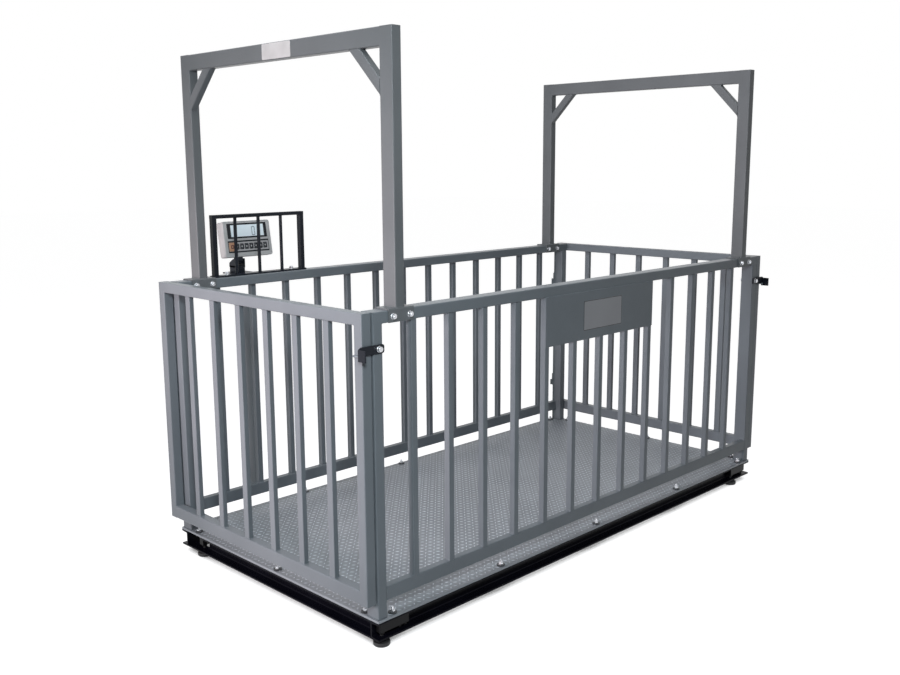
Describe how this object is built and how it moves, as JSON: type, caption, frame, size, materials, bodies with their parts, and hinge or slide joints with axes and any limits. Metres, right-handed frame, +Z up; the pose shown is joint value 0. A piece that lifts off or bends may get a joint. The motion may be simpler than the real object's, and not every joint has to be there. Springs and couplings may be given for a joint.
{
  "type": "livestock scale",
  "caption": "Platform scale for cattle: tread deck on load cells inside a barred cage with end gates, arches and an indicator behind a guard.",
  "frame": {"origin": "middle of the footprint (latch tabs to indicator bracket), on the floor under the feet", "axes": "+Z up, +X from the front gate to the rear gate, +Y from the near panel to the panel with the indicator"},
  "size_m": [2.618, 1.3546, 2.015],
  "materials": {
    "cage_paint": "satin grey metallic paint",
    "deck_paint": "satin grey paint on tread plate",
    "base_paint": "gloss black paint",
    "black_paint": "satin black paint",
    "zinc": "bright zinc plating",
    "cell_steel": "machined and blackened",
    "foot_rubber": "matt black",
    "junction_plastic": "matt dark grey",
    "case_plastic": "fine matt light grey",
    "display_plastic": "glossy window over a pale liquid crystal display",
    "keypad_film": "matt printed film",
    "key_orange": "matt",
    "key_grey": "matt",
    "label_white": "matt bare plate",
    "label_grey": "satin bare plate"
  },
  "bodies": {
    "platform": {"base_near_beam": "base_paint", "base_far_beam": "base_paint", "base_front_beam": "base_paint", "base_rear_beam": "base_paint", "base_cross_member_1": "base_paint", "base_cross_member_2": "base_paint", "base_cross_member_3": "base_paint", "deck_corner_bolt_front": "zinc", "deck_corner_bolt_rear": "zinc", "load_cell_front_near": "cell_steel", "load_cell_front_far": "cell_steel", "load_cell_rear_near": "cell_steel", "load_cell_rear_far": "cell_steel", "junction_box": "junction_plastic", "deck_plate": "deck_paint", "near_top_rail": "cage_paint", "near_bars": "cage_paint", "near_front_post": "cage_paint", "near_rear_post": "cage_paint", "far_top_rail": "cage_paint", "far_bars": "cage_paint", "far_front_post": "cage_paint", "far_rear_post": "cage_paint", "sign_panel": "cage_paint", "arch_label": "label_white", "sign_label": "label_grey", "front_arch_beam": "cage_paint", "front_arch_near_post": "cage_paint", "front_arch_far_post": "cage_paint", "rear_arch_beam": "cage_paint", "rear_arch_near_post": "cage_paint", "rear_arch_far_post": "cage_paint", "indicator_guard": "black_paint", "indicator_column": "black_paint"},
    "foot_front_near": {"foot_front_near": "foot_rubber"},
    "foot_front_far": {"foot_front_far": "foot_rubber"},
    "foot_rear_near": {"foot_rear_near": "foot_rubber"},
    "foot_rear_far": {"foot_rear_far": "foot_rubber"},
    "front_gate": {"front_gate_near_stile": "cage_paint", "front_gate_far_stile": "cage_paint", "front_gate_top_rail": "cage_paint", "front_gate_bars": "cage_paint"},
    "front_latch": {"front_latch": "black_paint"},
    "rear_gate": {"rear_gate_near_stile": "cage_paint", "rear_gate_far_stile": "cage_paint", "rear_gate_top_rail": "cage_paint", "rear_gate_bars": "cage_paint"},
    "rear_latch": {"rear_latch": "black_paint"},
    "indicator_head": {"indicator_front_case": "case_plastic", "indicator_back_case": "case_plastic", "display_window": "display_plastic", "keypad_plate": "keypad_film"},
    "key_1": {"key_1": "key_orange"},
    "key_2": {"key_2": "key_grey"},
    "key_3": {"key_3": "key_grey"},
    "key_4": {"key_4": "key_grey"},
    "key_5": {"key_5": "key_grey"},
    "key_6": {"key_6": "key_grey"},
    "key_7": {"key_7": "key_grey"},
    "key_8": {"key_8": "key_grey"}
  },
  "joints": [
    {"name": "front_gate_swing", "type": "hinge", "parent": "platform", "child": "front_gate", "pos_m": [-1.247, 0.62275, 0.6], "axis": [0, 0, -1], "range_deg": [0, 180]},
    {"name": "rear_gate_swing", "type": "hinge", "parent": "platform", "child": "rear_gate", "pos_m": [1.247, 0.62275, 0.6], "axis": [0, 0, 1], "range_deg": [0, 180]},
    {"name": "front_latch_lift", "type": "hinge", "parent": "platform", "child": "front_latch", "pos_m": [-1.225, -0.64555, 1.0166], "axis": [0, 1, 0], "range_deg": [0, 90]},
    {"name": "rear_latch_lift", "type": "hinge", "parent": "platform", "child": "rear_latch", "pos_m": [1.225, -0.64555, 1.0166], "axis": [0, -1, 0], "range_deg": [0, 90]},
    {"name": "indicator_tilt", "type": "hinge", "parent": "platform", "child": "indicator_head", "pos_m": [-0.902, 0.62525, 1.185], "axis": [-1, 0, 0], "range_deg": [-10, 20]},
    {"name": "key_1_press", "type": "slide", "parent": "indicator_head", "child": "key_1", "axis": [0, 0.9877, -0.1564], "range_m": [0, 0.0008], "stiffness_N_per_m": 400},
    {"name": "key_2_press", "type": "slide", "parent": "indicator_head", "child": "key_2", "axis": [0, 0.9877, -0.1564], "range_m": [0, 0.0008], "stiffness_N_per_m": 400},
    {"name": "key_3_press", "type": "slide", "parent": "indicator_head", "child": "key_3", "axis": [0, 0.9877, -0.1564], "range_m": [0, 0.0008], "stiffness_N_per_m": 400},
    {"name": "key_4_press", "type": "slide", "parent": "indicator_head", "child": "key_4", "axis": [0, 0.9877, -0.1564], "range_m": [0, 0.0008], "stiffness_N_per_m": 400},
    {"name": "key_5_press", "type": "slide", "parent": "indicator_head", "child": "key_5", "axis": [0, 0.9877, -0.1564], "range_m": [0, 0.0008], "stiffness_N_per_m": 400},
    {"name": "key_6_press", "type": "slide", "parent": "indicator_head", "child": "key_6", "axis": [0, 0.9877, -0.1564], "range_m": [0, 0.0008], "stiffness_N_per_m": 400},
    {"name": "key_7_press", "type": "slide", "parent": "indicator_head", "child": "key_7", "axis": [0, 0.9877, -0.1564], "range_m": [0, 0.0008], "stiffness_N_per_m": 400},
    {"name": "key_8_press", "type": "slide", "parent": "indicator_head", "child": "key_8", "axis": [0, 0.9877, -0.1564], "range_m": [0, 0.0008], "stiffness_N_per_m": 400},
    {"name": "foot_front_near_height", "type": "slide", "parent": "platform", "child": "foot_front_near", "axis": [0, 0, -1], "range_m": [0, 0.015]},
    {"name": "foot_front_far_height", "type": "slide", "parent": "platform", "child": "foot_front_far", "axis": [0, 0, -1], "range_m": [0, 0.015]},
    {"name": "foot_rear_near_height", "type": "slide", "parent": "platform", "child": "foot_rear_near", "axis": [0, 0, -1], "range_m": [0, 0.015]},
    {"name": "foot_rear_far_height", "type": "slide", "parent": "platform", "child": "foot_rear_far", "axis": [0, 0, -1], "range_m": [0, 0.015]}
  ]
}
